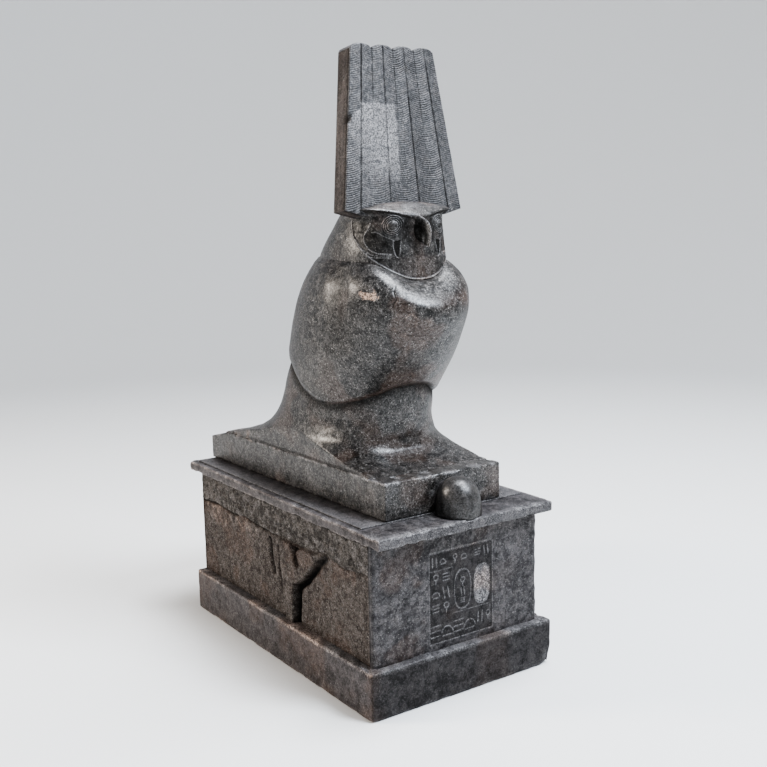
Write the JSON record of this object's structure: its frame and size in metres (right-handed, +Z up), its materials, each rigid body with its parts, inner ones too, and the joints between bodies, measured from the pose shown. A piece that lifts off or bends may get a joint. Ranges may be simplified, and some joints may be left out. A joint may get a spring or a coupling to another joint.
{
  "type": "horus falcon statue",
  "caption": "Standing falcon in dark stone with a tall plume crown, on a low block with its tail, set on a moulded pedestal with relief and an inscribed panel.",
  "frame": {"origin": "middle of the pedestal in plan, on the surface it stands on", "axes": "+Z up, the falcon faces -Y, +X is the falcon's left side"},
  "size_m": [0.34, 0.6, 0.9475],
  "materials": {
    "falcon stone": "polished dark speckled stone, worn",
    "pedestal stone": "rubbed and tooled dark speckled stone"
  },
  "bodies": {
    "root": {"falcon": "falcon stone", "pedestal": "pedestal stone"}
  },
  "joints": []
}
